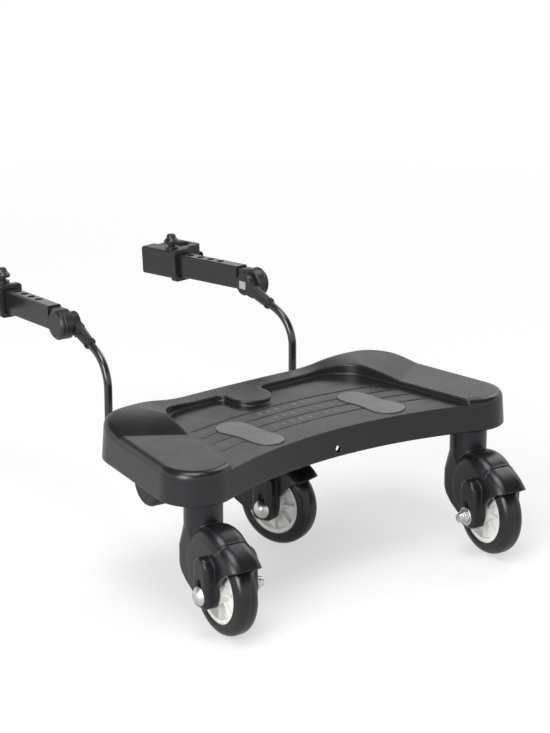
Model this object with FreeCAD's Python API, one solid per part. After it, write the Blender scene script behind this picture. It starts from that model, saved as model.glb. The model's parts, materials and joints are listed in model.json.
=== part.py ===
import FreeCAD, Part
import math
import os

Vec = FreeCAD.Vector
X = Vec(1, 0, 0)
Y = Vec(0, 1, 0)
Z = Vec(0, 0, 1)

# Millimetres. +X across the board, +Y the way it travels, +Z up, floor at z = 0.
# Pieces are drawn with y measured from the line of the two rear caster stems.
frame_shift_y = -187.74   # moves the drawing so that the origin lies under the middle of the box
beyond = 400.0            # reach of cutting shapes past the deck

# Fits and clearances
run_gap = 0.05            # radial, shaft in bush
slide_gap = 0.3           # each side, pieces that slide past each other
face_gap = 0.3            # between faces that turn past each other
wheel_gap = 3.5           # tyre to hood

# Deck, seen from above
deck_width = 404.0        # before the corners are rounded
side_taper = 0.165        # loss of half width for each millimetre forward
edge_bend = 1.0272        # radius of the hollow rear edge, over the deck width
edge_mid = 2.5            # middle of the rear edge, ahead of the stems
front_y = 166.0
front_bend = 3.8614       # radius of the bowed front edge, over the deck width
rear_corner_r = 36.0
front_corner_r = 46.0

# Deck, heights and walls
skirt_z = 121.0           # lower edge of the skirt
tread_z = 147.5
shoulder_h = 5.0          # shoulders and front rim above the tread
hump_h = 6.5              # humps above the shoulders
draft = 0.07              # skirt slope
top_round = 7.0
skirt_t = 3.6
top_t = 5.0
rib_t = 3.0
rib_drop = 16.0           # ribs hang this far below the top plate
rib_xs = (-125.0, -75.0, -25.0, 25.0, 75.0, 125.0)
rib_ys = (40.0, 85.0, 128.0)

# Humps at the two front corners: distance from the deck side, and y
crease_in = (78.0, 62.0)
crease_out = (25.0, 98.0)
crease_r = 25.0
ramp_len = 76.0
rim_side = 140.0          # deck side to the low middle of the front rim
rim_rise = 70.0           # length over which the rim climbs to the hump

# Tread
shoulder_w = 63.0         # deck side to the tread, at the rear stems
tread_taper = 0.18
tread_front = 139.0
tread_corner_r = 40.0
tongue_r = 21.0
tongue_x = -13.0
tongue_y = 124.0
tongue_blend = 9.0
groove_first = 36.5       # grooves run along the rear edge, measured from it
groove_pitch = 18.2
groove_count = 4
groove_w = 1.4
groove_deep = 0.9
groove_end = 11.0         # short of the side of the tread
pad_t = 2.0
pad_proud = 0.8
pad_side = 129.5          # deck side to the middle of a pad
pad_y = 44.0
pad_turn = 9.0
pad_points = ((0, 38), (10, 35), (17, 24), (16, 9), (14, -6), (15, -20), (10, -34),
              (0, -38), (-11, -34), (-16, -21), (-15, -6), (-15, 9), (-17, 24), (-10, 35))
strap_hole_r = 3.6
strap_hole_up = 7.5       # above the lower edge of the skirt
strap_boss_r = 7.0
strap_boss_t = 1.6

# Casters
stem_side = 42.0          # deck side to the rear stems
stem_front_y = 145.0
swivels = {"rear_left": -5.0, "rear_right": -6.0, "front": 16.0}
trail = 38.5
stem_r = 18.0
boss_drop = 2.0           # deck boss below the skirt
flange_t = 1.5
flange_r = 15.0
bush_r = 9.0
bush_up = 21.0            # bush above the boss face
kingpin_r = 6.0
kingpin_low = 80.0

# Wheels
wheel_r = 42.0
wheel_w = 22.5
tyre_round = 9.0
rim_r = 30.0
rim_w = 19.0
rim_ring = 4.0
rim_web = 5.0
rim_hub_r = 11.0
rim_ribs = 8
rim_rib_t = 2.4
rim_rib_in = 2.0          # ribs lie inside the rim's edge
hub_w = 28.0
axle_r = 4.0
wheel_bush_r = 7.0

# Forks
leg_gap = 29.0
leg_t = 3.8
hood_r = wheel_r + wheel_gap + 5.0
hood_round = 12.0
well_round = 5.5
leg_rib_h = 10.3          # outer post of a leg beyond the hood side
collar_side = (10.5, 13.5)   # raised line across the hood, behind the wheel centre
collar_up = 0.8
swell_round = 7.0         # corners of the swollen front of the fork
swell_z = (30.0, 50.0)    # above the wheel centre: full, and back to the stem
swell_flat = 0.3          # flats left where the swell meets the stem
# Side outline round the wheel centre: behind it is plus, above it is plus.
dome_at = (-10.5, 20.5)
dome_r = 37.0
dome_round = 12.0
fork_side = ((-60, 40), (-57, 22), (-48, 6), (-40, -1), (-29, -7), (-13, -11.5), (4, -11.5), (10, -8),
             (12, 0), (12.5, 11), (19.5, 20.5), (30, 28), (44, 33), (80, 50), (80, 90), (-60, 90))
nose_side = ((2, 0), (80, 0), (80, 90), (2, 90))
post_side = (-12.0, 10.5)         # front and rear of a leg post
post_low = -12.0
post_top = 25.0           # middle of its round top
post_round = 3.5
post_foot_r = 6.0
slot_r = 3.5              # slot over the axle in a leg post
slot_up = 12.5
slot_deep = 3.0
head_r = 9.0
head_h = 5.5
nut_flats = 13.0
nut_t = 6.5
bolt_tip = 3.0

# Bent rods, in the plane of each arm: y from the upright, z from the floor
rod_r = 4.0
rod_bore = 3.1
rod_side = 88.5           # deck side to the upright of a rod
rod_y = 217.0
toe_in = 5.0
leg_z = 88.0
leg_back = 108.0          # rear end of the lower leg behind the upright
low_bend = 26.0
bend_z = 153.0            # where the upright starts to lean forward
top_bend = 36.0
rod_lean = 20.0           # slope of the rod where it enters the lever
rod_reach = 49.0          # end of the top bend to the hinge axis

# Rod holders under the deck
holder_mid = -92.0
holder_r = 22.5
holder_half = 14.0
holder_round = 4.0
holder_flange_t = 4.0
holder_ear = 12.0
holder_screw_r = 2.5
holder_screw_in = 13.0
holder_head_t = 3.0
holder_head_draw = 0.6    # lower face of a screw head, smaller in radius
holder_hole_low = 20.0    # screw holes start this far below the skirt
pedestal_t = 3.0

# Lever and drum of the arm hinge
lever_r = 11.0
lever_t = 9.0
sleeve_len = 36.0
sleeve_r = (5.4, 6.4)
pin_r = 4.0
lever_round = 1.2
neck_back = 2.0           # neck of the lever behind the drum
neck_in = 4.0             # neck inside the disc
neck_step = 0.4           # neck lower than the sleeve, each side
pin_in = -1.0             # pin end, from the middle of the lever
drum_r = 15.0
drum_t = 10.0
cap_t = 5.0
cap_chamfer = 2.2
groove = 0.8
spigot_back = 6.0         # ahead of the hinge axis
spigot_in = 24.0          # inside the tube
spigot_clear = 1.5        # spigot to lever
hinge_reach = 30.0        # reach of cuts along the hinge axis
button_size = (9.0, 8.0)
button_h = 4.0
button_proud = 1.5
button_travel = 1.5
button_gap = 0.15
button_round = 0.8
button_floor = 0.2        # room under a pressed button

# Arm tubes
arm_tilt = -4.0
tube_w = 15.0
tube_h = 24.0
tube_t = 2.0
tube_round = 2.0
tube_lift = 4.0           # middle of the tube above the hinge axis
tube_start = 17.0         # ahead of the hinge axis
tube_end = 146.0
hole_r = 4.0
hole_first = 49.5         # ahead of the hinge axis
hole_pitch = 15.5
hole_count = 6

# Clamps, y ahead of the hinge axis
housing_y = (109.0, 165.0)
housing_t = 2.4
collar_len = 7.0
collar_h = 2.0
housing_round = 3.0
leg_bore_r = 12.5
liner_t = 1.5
liner_reach = 20.0        # half of the box that trims the liner
saddle_y = 146.0
saddle_half_y = 19.0
saddle_half_z = 13.0
saddle_wall = 3.2
split = 0.8
cap_round = 5.0
clamp_screw_y = 15.8
clamp_screw_r = 1.8
clamp_head_r = 3.8
clamp_head_t = 2.4
clamp_head_round = 1.2
plunger_r = 3.6
plunger_boss_r = 7.0
plunger_boss_h = 3.0
plunger_reach = 60.0      # reach of the plunger hole
plunger_travel = 3.8
plunger_profile = ((8, 0), (8, 2.5), (5.2, 5.5), (4.6, 8.5), (3, 9.5))

# Derived places
deck_half = deck_width / 2
edge_r = edge_bend * deck_width
front_r = front_bend * deck_width
rim_flat = deck_half - rim_side
tread_half = deck_half - shoulder_w
stem_x = deck_half - stem_side
rod_x = deck_half - rod_side
holder_y = (holder_mid - holder_r, holder_mid + holder_r)

# Derived heights
shoulder_z = tread_z + shoulder_h
hump_z = shoulder_z + hump_h
boss_z = skirt_z - boss_drop
fork_top = boss_z - flange_t - face_gap
ceiling_z = tread_z - top_t
fork_half = leg_gap / 2 + leg_t

# Derived points of the arm
lean = math.radians(rod_lean)
turn = math.radians(90 - rod_lean)
bend_end = Vec(0, top_bend * (1 - math.cos(turn)), bend_z + top_bend * math.sin(turn))
rod_way = Vec(0, math.cos(lean), math.sin(lean))
hinge = bend_end + rod_way * rod_reach
hinge_y = hinge.y
hinge_z = hinge.z
lever_half = lever_t / 2
drum_in = -lever_half - face_gap
tube_x = drum_in - drum_t / 2
housing_half = tube_w / 2 + slide_gap + housing_t
housing_top = tube_h / 2 + slide_gap + housing_t
bore_x = tube_x - housing_half - saddle_wall - leg_bore_r
tube_z = hinge_z + tube_lift


def box(x, y, z):
    return Part.makeBox(x[1] - x[0], y[1] - y[0], z[1] - z[0], Vec(x[0], y[0], z[0]))


def bar(radius, start, end):
    way = end - start
    return Part.makeCylinder(radius, way.Length, start, way)


def prism_x(points, low, high):
    corners = [Vec(low, y, z) for y, z in points]
    face = Part.Face(Part.makePolygon(corners + corners[:1]))
    return face.extrude(X * (high - low))


def prism_z(points, low, high):
    corners = [Vec(x, y, low) for x, y in points]
    face = Part.Face(Part.makePolygon(corners + corners[:1]))
    return face.extrude(Z * (high - low))


def prism_y(points, low, high):
    corners = [Vec(x, low, z) for x, z in points]
    face = Part.Face(Part.makePolygon(corners + corners[:1]))
    return face.extrude(Y * (high - low))


def stacked(points, base):
    # points are (radius, height) pairs from the bottom up
    rings = []
    for (low_r, low), (high_r, high) in zip(points, points[1:]):
        if low_r == high_r:
            rings.append(Part.makeCylinder(low_r, high - low, base + Z * low))
        else:
            rings.append(Part.makeCone(low_r, high_r, high - low, base + Z * low))
    return join(*rings)


def rounded(shape, radius, test):
    edges = [edge for edge in shape.Edges if test(edge)]
    return shape.makeFillet(radius, edges)


def is_line(edge):
    return edge.Curve.TypeId == "Part::GeomLine"


def is_upright(edge):
    ends = edge.Vertexes
    if len(ends) != 2:
        return False
    a, b = ends[0].Point, ends[1].Point
    return math.hypot(a.x - b.x, a.y - b.y) < 1e-4


def is_round(edge):
    return isinstance(edge.Curve, Part.Circle)


def join(first, *others):
    return first.fuse(list(others))


def mirrored(shape):
    return shape.mirror(Vec(0, 0, 0), X)


def save(name, shape):
    if len(shape.Solids) != 1:
        raise ValueError("%s came out as %d solids" % (name, len(shape.Solids)))
    piece = shape.Solids[0].copy()
    piece.translate(Y * frame_shift_y)
    piece.exportStep("parts/%s.step" % name)


# Deck
def deck_outline(inset, z):
    lean_out = inset * math.hypot(1, side_taper)
    rear_x = deck_half - lean_out + side_taper * beyond
    ahead_x = deck_half - lean_out - side_taper * beyond
    plate = prism_z(((-rear_x, -beyond), (rear_x, -beyond), (ahead_x, beyond), (-ahead_x, beyond)), 0, 1)
    plate = plate.cut(Part.makeCylinder(edge_r + inset, 1, Vec(0, edge_mid - edge_r, 0)))
    plate = plate.common(Part.makeCylinder(front_r - inset, 1, Vec(0, front_y - front_r, 0)))
    middle = (edge_mid + front_y) / 2

    def is_corner(edge):
        return is_upright(edge) and abs(edge.CenterOfMass.x) > stem_r
    plate = rounded(plate, rear_corner_r - inset, lambda e: is_corner(e) and e.CenterOfMass.y < middle)
    plate = rounded(plate, front_corner_r - inset,
                    lambda e: is_corner(e) and is_line(e) and e.CenterOfMass.y > middle)
    low = min(plate.Faces, key=lambda face: face.CenterOfMass.z)
    wire = low.OuterWire.copy()
    wire.translate(Z * z)
    return wire


def drafted(inset, low, high):
    foot = deck_outline(inset + draft * (low - skirt_z), low)
    head = deck_outline(inset + draft * (high - skirt_z), high)
    return Part.makeLoft([foot, head], True, True)


def ramp_face():
    bend = 2 * math.atan2(hump_h, ramp_len)
    long_r = ramp_len / math.sin(bend) - crease_r
    half = bend / 2
    start = Vec(0, 0, shoulder_z)
    knee = start + Vec(0, crease_r * math.sin(bend), crease_r * (1 - math.cos(bend)))
    crest = start + Vec(0, ramp_len, hump_h)
    low_mid = start + Vec(0, crease_r * math.sin(half), crease_r * (1 - math.cos(half)))
    high_mid = crest - Vec(0, long_r * math.sin(half), long_r * (1 - math.cos(half)))
    over = hump_z + hump_h
    corners = (Vec(0, beyond, hump_z), Vec(0, beyond, over),
               Vec(0, -beyond, over), Vec(0, -beyond, shoulder_z))
    edges = [Part.Arc(start, low_mid, knee).toShape(), Part.Arc(knee, high_mid, crest).toShape()]
    way = [crest] + list(corners) + [start]
    edges += [Part.makeLine(a, b) for a, b in zip(way, way[1:])]
    return Part.Face(Part.Wire(edges))


def rim_tool():
    # clears the middle of the deck down to the shoulders, with a soft rise to each hump
    quarter = rim_rise / 2
    half_r = (rim_rise ** 2 + hump_h ** 2) / (4 * hump_h)
    turn_half = math.asin(quarter / half_r) / 2
    edges = []
    for side in (-1, 1):
        foot = Vec(side * rim_flat, -beyond, shoulder_z)
        head = Vec(side * (rim_flat + rim_rise), -beyond, hump_z)
        middle = (foot + head) * 0.5
        low_mid = foot + Vec(side * half_r * math.sin(turn_half), 0, half_r * (1 - math.cos(turn_half)))
        high_mid = head - Vec(side * half_r * math.sin(turn_half), 0, half_r * (1 - math.cos(turn_half)))
        edges += [Part.Arc(foot, low_mid, middle).toShape(), Part.Arc(middle, high_mid, head).toShape()]
        over = head + Z * hump_h
        edges.append(Part.makeLine(head, over))
        edges.append(Part.makeLine(over, Vec(0, -beyond, over.z)))
    edges.append(Part.makeLine(Vec(-rim_flat, -beyond, shoulder_z), Vec(rim_flat, -beyond, shoulder_z)))
    return Part.Face(Part.Wire(Part.__sortEdges__(edges))).extrude(Y * 2 * beyond)


def hump_tool():
    # clears the right side down to the shoulder and the ramp; it runs along the slanting crease
    inner = Vec(deck_half - crease_in[0], crease_in[1], 0)
    outer = Vec(deck_half - crease_out[0], crease_out[1], 0)
    face = ramp_face()
    face.translate(inner - (outer - inner) * 1.5)
    return face.extrude((outer - inner) * 4)


def tread_pocket():
    def half(y):
        return tread_half - tread_taper * y
    back = -deck_half / 2
    pocket = prism_z(((-half(back), back), (half(back), back), (half(tread_front), tread_front),
                      (-half(tread_front), tread_front)), tread_z, hump_z + hump_h)
    pocket = rounded(pocket, tread_corner_r, lambda e: is_upright(e) and e.CenterOfMass.y > tread_front - 1)
    tongue = Part.makeCylinder(tongue_r, 2 * hump_z, Vec(tongue_x, tongue_y, 0))
    root = box((tongue_x - tongue_r, tongue_x + tongue_r),
               (tongue_y, tread_front + tongue_r), (0, 2 * hump_z))
    pocket = pocket.cut(join(tongue, root))
    return rounded(pocket, tongue_blend, lambda e: is_upright(e) and e.CenterOfMass.y > tread_front - 1
                   and abs(abs(e.CenterOfMass.x - tongue_x) - tongue_r) < 0.1)


def pad_shape(side, low, high):
    # the two pads lie parallel, one turned end for end
    curve = Part.BSplineCurve()
    curve.interpolate([Vec(-side * x, -side * y, low) for x, y in pad_points], PeriodicFlag=True)
    pad = Part.Face(Part.Wire(curve.toShape())).extrude(Z * (high - low))
    pad.rotate(Vec(0, 0, 0), Z, pad_turn)
    pad.translate(Vec(side * (deck_half - pad_side), pad_y, 0))
    return pad


def tread_groove(index):
    middle_r = edge_r + groove_first + index * groove_pitch
    centre = Vec(0, edge_mid - edge_r, tread_z - groove_deep)
    ring = Part.makeCylinder(middle_r + groove_w / 2, 2 * groove_deep, centre)
    ring = ring.cut(Part.makeCylinder(middle_r - groove_w / 2, 2 * groove_deep, centre))
    half = tread_half - groove_end
    ahead = half - tread_taper * tread_front
    field = prism_z(((-half, 0), (half, 0), (ahead, tread_front), (-ahead, tread_front)),
                    tread_z - groove_deep, tread_z + groove_deep)
    return ring.common(field)


def stem_points():
    return {"rear_left": Vec(-stem_x, 0, 0),
            "rear_right": Vec(stem_x, 0, 0),
            "front": Vec(0, stem_front_y, 0)}


def deck_shell():
    hump = hump_tool()
    shell = drafted(0, skirt_z, hump_z).cut([rim_tool(), hump, mirrored(hump)]).removeSplitter()

    def on_edge(edge):
        spot = edge.valueAt((edge.FirstParameter + edge.LastParameter) / 2)
        if spot.z < shoulder_z - 0.5:
            return False
        rim = deck_outline(draft * (spot.z - skirt_z), spot.z)
        return Part.Vertex(spot).distToShape(rim)[0] < 0.05
    shell = rounded(shell, top_round, on_edge)
    shell = shell.cut(tread_pocket())
    shell = shell.cut([tread_groove(index) for index in range(groove_count)])
    shell = shell.cut(drafted(skirt_t, skirt_z - skirt_t, ceiling_z))
    grid = []
    rib_zs = (ceiling_z - rib_drop, ceiling_z + 1)
    for x in rib_xs:
        grid.append(box((x - rib_t / 2, x + rib_t / 2), (-beyond, beyond), rib_zs))
    for y in rib_ys:
        grid.append(box((-beyond, beyond), (y - rib_t / 2, y + rib_t / 2), rib_zs))
    for side in (-1, 1):
        grid.append(pedestal(side))
    hole_z = skirt_z + strap_hole_up
    back = edge_mid + skirt_t
    grid.append(bar(strap_boss_r, Vec(0, edge_mid, hole_z), Vec(0, back + strap_boss_t, hole_z)))
    inside = drafted(skirt_t - 0.5, skirt_z, ceiling_z + 1)
    grid = [piece.common(inside) for piece in grid]
    for spot in stem_points().values():
        grid.append(Part.makeCylinder(stem_r, ceiling_z + 1 - boss_z, spot + Z * boss_z))
    shell = shell.fuse(grid)
    for side in (-1, 1):
        shell = shell.cut(pad_shape(side, tread_z - pad_t + pad_proud, hump_z))
    shell = shell.toNurbs()
    for spot in stem_points().values():
        shell = shell.cut(Part.makeCylinder(bush_r, bush_up, spot + Z * boss_z))
    for side in (-1, 1):
        for spot in holder_screw_spots():
            hole = bar(holder_screw_r, spot + Z * (skirt_z - 1), spot + Z * (skirt_z + holder_screw_in + 1))
            shell = shell.cut(arm_place(hole, side))
    start = Vec(0, edge_mid - skirt_t, hole_z)
    return shell.cut(bar(strap_hole_r, start, Vec(0, back + 2 * strap_boss_t, hole_z)))


# Placing of an arm: drawn for the left side, with +x inboard
def arm_place(shape, side):
    piece = shape.copy()
    piece.rotate(Vec(0, 0, 0), Z, -toe_in)
    piece.translate(Vec(-rod_x, rod_y, 0))
    return piece if side < 0 else mirrored(piece)


def arm_tilted(shape):
    piece = shape.copy()
    piece.rotate(hinge, X, arm_tilt)
    return piece


# Rods and their holders
def rod():
    start = Vec(0, -leg_back, leg_z)
    low_in = Vec(0, -low_bend, leg_z)
    low_out = Vec(0, 0, leg_z + low_bend)
    slant = low_bend * math.sqrt(0.5)
    low_mid = Vec(0, -low_bend + slant, leg_z + low_bend - slant)
    top_in = Vec(0, 0, bend_z)
    half = turn / 2
    top_mid = Vec(0, top_bend * (1 - math.cos(half)), bend_z + top_bend * math.sin(half))
    end = hinge - rod_way * (lever_r + 1)
    path = Part.Wire([
        Part.makeLine(start, low_in), Part.Arc(low_in, low_mid, low_out).toShape(),
        Part.makeLine(low_out, top_in), Part.Arc(top_in, top_mid, bend_end).toShape(),
        Part.makeLine(bend_end, end)])
    skins = []
    for radius in (rod_r, rod_bore):
        ring = Part.Wire(Part.makeCircle(radius, start, Y))
        skins.append(path.makePipeShell([ring], True, False))
    return skins[0].cut(skins[1])


def holder_screw_spots():
    return [Vec(0, holder_y[0] - holder_ear / 2, 0), Vec(0, holder_y[1] + holder_ear / 2, 0)]


def pedestal(side):
    reach = (holder_y[0] - holder_ear, holder_y[1] + holder_ear)
    block = box((-holder_half, holder_half), reach, (skirt_z, ceiling_z + 1))
    inner = box((-holder_half + pedestal_t, holder_half - pedestal_t),
                (reach[0] + holder_ear, reach[1] - holder_ear), (skirt_z - 1, ceiling_z))
    return arm_place(block.cut(inner), side)


def rod_holder():
    flange = box((-holder_half, holder_half), (holder_y[0] - holder_ear, holder_y[1] + holder_ear),
                 (skirt_z - holder_flange_t, skirt_z))
    flange = rounded(flange, holder_ear / 2 - 1, is_upright)
    block = box((-holder_half, holder_half), holder_y, (leg_z, skirt_z))
    belly = bar(holder_r, Vec(-holder_half, holder_mid, leg_z), Vec(holder_half, holder_mid, leg_z))
    body = block.fuse(belly).removeSplitter()
    body = rounded(body, holder_round, lambda e: abs(abs(e.CenterOfMass.x) - holder_half) < 0.01
                   and e.CenterOfMass.z < skirt_z - 0.1)
    holder = join(flange, body)
    holder = holder.cut(bar(rod_r, Vec(0, -leg_back, leg_z), Vec(0, holder_y[1] + 1, leg_z)))
    for spot in holder_screw_spots():
        low = spot + Z * (skirt_z - holder_hole_low)
        holder = holder.cut(bar(holder_screw_r, low, spot + Z * (skirt_z + 1)))
    return holder


def holder_screw(spot):
    head_z = skirt_z - holder_flange_t
    wide = 2 * holder_screw_r
    low = spot + Z * (head_z - holder_head_t)
    head = Part.makeCone(wide - holder_head_draw, wide, holder_head_t, low)
    return join(head, bar(holder_screw_r, spot + Z * head_z, spot + Z * (skirt_z + holder_screw_in)))


# Lever, drum and tube of an arm
def lever():
    disc = bar(lever_r, hinge - X * lever_half, hinge + X * lever_half)
    disc = rounded(disc, lever_round, is_round)
    foot = hinge - rod_way * sleeve_len
    sleeve = Part.makeCone(sleeve_r[0], sleeve_r[1], sleeve_len - drum_r - 1, foot, rod_way)
    neck = box((-lever_half, lever_half), (hinge_y - drum_r - neck_back, hinge_y - lever_r + neck_in),
               (hinge_z - sleeve_r[1] + neck_step, hinge_z + sleeve_r[1] - neck_step))
    neck.rotate(hinge, X, rod_lean)
    body = join(disc, neck, sleeve)
    body = body.cut(bar(rod_r, foot - rod_way, hinge - rod_way * (lever_r + 1)))
    body = body.cut(bar(pin_r + run_gap, hinge - X * (lever_half + 1), hinge + X * (pin_in + face_gap)))
    floor = lever_half - button_h + button_proud - button_travel - button_floor
    return body.cut(button_block(floor, lever_half + 1, button_gap))


def button_block(low, high, grow):
    wide, tall = button_size[0] / 2 + grow, button_size[1] / 2 + grow
    return box((low, high), (hinge_y - wide, hinge_y + wide), (hinge_z - tall, hinge_z + tall))


def button():
    top = lever_half + button_proud
    block = button_block(top - button_h, top, 0)
    return rounded(block, button_round, lambda e: e.CenterOfMass.x > top - 0.01)


def drum_hub():
    out = drum_in - drum_t
    drum = bar(drum_r, hinge + X * out, hinge + X * drum_in)
    drum = drum.makeChamfer(groove, [e for e in drum.Edges if is_round(e)])
    wide, tall = tube_w / 2 - tube_t, tube_h / 2 - tube_t
    spigot = box((tube_x - wide, tube_x + wide), (hinge_y + spigot_back, hinge_y + tube_start + spigot_in),
                 (tube_z - tall, tube_z + tall))
    clear = bar(lever_r + spigot_clear, hinge + X * drum_in, hinge + X * hinge_reach)
    cap_room = bar(drum_r + face_gap, hinge + X * (out - cap_t - 1), hinge + X * out)
    hub = join(drum, spigot.cut([clear, cap_room]))
    return hub.cut(bar(pin_r, hinge + X * (out - 1), hinge + X * hinge_reach))


def drum_cap():
    out = drum_in - drum_t
    cap = bar(drum_r, hinge + X * (out - cap_t), hinge + X * out)
    cap = cap.makeChamfer(groove, [e for e in cap.Edges if is_round(e) and e.CenterOfMass.x > out - 0.1])
    outer = [e for e in cap.Edges if is_round(e) and e.CenterOfMass.x < out - cap_t + 0.1]
    return cap.makeChamfer(cap_chamfer, outer)


def hinge_pin():
    return bar(pin_r, hinge + X * (drum_in - drum_t), hinge + X * pin_in)


def arm_tube():
    reach = (hinge_y + tube_start, hinge_y + tube_end)
    tube = box((tube_x - tube_w / 2, tube_x + tube_w / 2), reach, (tube_z - tube_h / 2, tube_z + tube_h / 2))
    tube = rounded(tube, tube_round, lambda e: abs(e.Length - (reach[1] - reach[0])) < 0.01)
    wide, tall = tube_w / 2 - tube_t, tube_h / 2 - tube_t
    tube = tube.cut(box((tube_x - wide, tube_x + wide), reach, (tube_z - tall, tube_z + tall)))
    for index in range(hole_count):
        spot = Vec(tube_x, hinge_y + hole_first + index * hole_pitch, tube_z)
        tube = tube.cut(bar(hole_r, spot, spot + Z * tube_h))
    return tube


# Clamp that slides on the tube and grips an upright leg
def clamp_ys():
    return (hinge_y + housing_y[0], hinge_y + housing_y[1])


def clamp_screw_spots():
    middle = hinge_y + saddle_y
    return [Vec(0, middle - clamp_screw_y, tube_z), Vec(0, middle + clamp_screw_y, tube_z)]


def leg_axis(radius):
    low = Vec(bore_x, hinge_y + saddle_y, tube_z - saddle_half_z)
    return bar(radius, low - Z, low + Z * (2 * saddle_half_z + 1))


def saddle_block(low, high):
    middle = hinge_y + saddle_y
    return box((low, high), (middle - saddle_half_y, middle + saddle_half_y),
               (tube_z - saddle_half_z, tube_z + saddle_half_z))


def plunger_spot():
    last = hole_first + (hole_count - 1) * hole_pitch
    return Vec(tube_x, hinge_y + last, tube_z)


def clamp_body():
    ys = clamp_ys()
    housing = box((tube_x - housing_half, tube_x + housing_half), ys,
                  (tube_z - housing_top, tube_z + housing_top))
    collar = box((tube_x - housing_half - collar_h, tube_x + housing_half + collar_h),
                 (ys[0], ys[0] + collar_len),
                 (tube_z - housing_top - collar_h, tube_z + housing_top + collar_h))
    collar = rounded(collar, housing_round, lambda e: abs(e.Length - collar_len) < 0.01)
    saddle = saddle_block(bore_x + split / 2, tube_x - housing_half + 1)
    spot = plunger_spot()
    boss = bar(plunger_boss_r, spot, spot + Z * (housing_top + plunger_boss_h))
    housing = rounded(housing, housing_round, lambda e: abs(e.Length - (ys[1] - ys[0])) < 0.01)
    body = join(housing, collar, saddle, boss)
    wide, tall = tube_w / 2 + slide_gap, tube_h / 2 + slide_gap
    channel = box((tube_x - wide, tube_x + wide), (ys[0] - 1, ys[1] + 1), (tube_z - tall, tube_z + tall))
    body = body.cut(channel)
    body = body.cut([leg_axis(leg_bore_r), bar(plunger_r + run_gap, spot, spot + Z * plunger_reach)])
    for place in clamp_screw_spots():
        start = place + X * (bore_x - 2 * leg_bore_r)
        body = body.cut(bar(clamp_screw_r, start, place + X * (tube_x - housing_half + 1)))
    return body


def clamp_cap():
    outer = bore_x - leg_bore_r - saddle_wall
    cap = saddle_block(outer, bore_x - split / 2)
    cap = rounded(cap, cap_round, lambda e: is_upright(e) and e.CenterOfMass.x < outer + 1)
    cap = cap.cut(leg_axis(leg_bore_r))
    for place in clamp_screw_spots():
        cap = cap.cut(bar(clamp_screw_r, place + X * (outer - 1), place + X * bore_x))
    return cap


def clamp_liner():
    sleeve = leg_axis(leg_bore_r).cut(leg_axis(leg_bore_r - liner_t))
    tall = (tube_z - saddle_half_z, tube_z + saddle_half_z)
    middle = hinge_y + saddle_y
    across = (bore_x - liner_reach, bore_x + liner_reach)
    sleeve = sleeve.common(box(across, (middle - liner_reach, middle + liner_reach), tall))
    return sleeve.cut(box((bore_x - split / 2, bore_x + split / 2), (middle, middle + liner_reach), tall))


def clamp_screw(place):
    outer = bore_x - leg_bore_r - saddle_wall
    head = bar(clamp_head_r, place + X * (outer - clamp_head_t), place + X * outer)
    front = outer - clamp_head_t + 0.01
    head = rounded(head, clamp_head_round, lambda e: is_round(e) and e.CenterOfMass.x < front)
    return join(head, bar(clamp_screw_r, place + X * outer, place + X * (tube_x - housing_half)))


def plunger():
    spot = plunger_spot()
    foot = housing_top + plunger_boss_h + plunger_travel + face_gap
    knob = stacked(plunger_profile, spot + Z * foot)
    return join(knob, bar(plunger_r, spot + Z * (tube_h / 2 + slide_gap), spot + Z * (foot + 1)))


# Casters: drawn with the stem on the z axis and the wheel behind it
def side_points(points):
    return [(-trail - behind, wheel_r + up) for behind, up in points]


def across(radius, half):
    return Part.makeCylinder(radius, 2 * half, Vec(-half, -trail, wheel_r), X)


def leg_post(side):
    front, rear = post_side
    radius = (rear - front) / 2
    middle = -trail - (front + rear) / 2
    low, high = sorted((side * (fork_half - well_round), side * (fork_half + leg_rib_h)))
    knob = Part.makeCylinder(radius, high - low, Vec(low, middle, wheel_r + post_top), X)
    post = box((low, high), (middle - radius, middle + radius), (wheel_r + post_low, wheel_r + post_top))
    post = rounded(post, post_foot_r, lambda e: abs(e.CenterOfMass.z - wheel_r - post_low) < 0.01
                   and abs(abs(e.CenterOfMass.y - middle) - radius) < 0.01)
    post = post.fuse(knob).removeSplitter()
    outer = side * (fork_half + leg_rib_h)
    post = rounded(post, post_round, lambda e: abs(e.CenterOfMass.x - outer) < 0.01)
    deep = outer - side * slot_deep
    slot = bar(slot_r, Vec(deep, -trail, wheel_r + slot_up), Vec(outer + side, -trail, wheel_r + slot_up))
    way = sorted((deep, outer + side))
    slot = slot.fuse(box(way, (-trail - slot_r, -trail + slot_r), (wheel_r, wheel_r + slot_up)))
    return post.cut(slot)


def fork_swell():
    # from a near circle at the stem to a rounded square in front of the hood
    sections = []
    for up, corner in ((swell_z[1], stem_r - swell_flat), (swell_z[0], swell_round), (post_low, swell_round)):
        square = box((-stem_r, stem_r), (-stem_r, stem_r), (0, 1))
        low = min(rounded(square, corner, is_upright).Faces, key=lambda face: face.CenterOfMass.z)
        wire = low.OuterWire.copy()
        wire.translate(Z * (wheel_r + up))
        sections.append(wire)
    return Part.makeLoft(sections, True, True)


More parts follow.
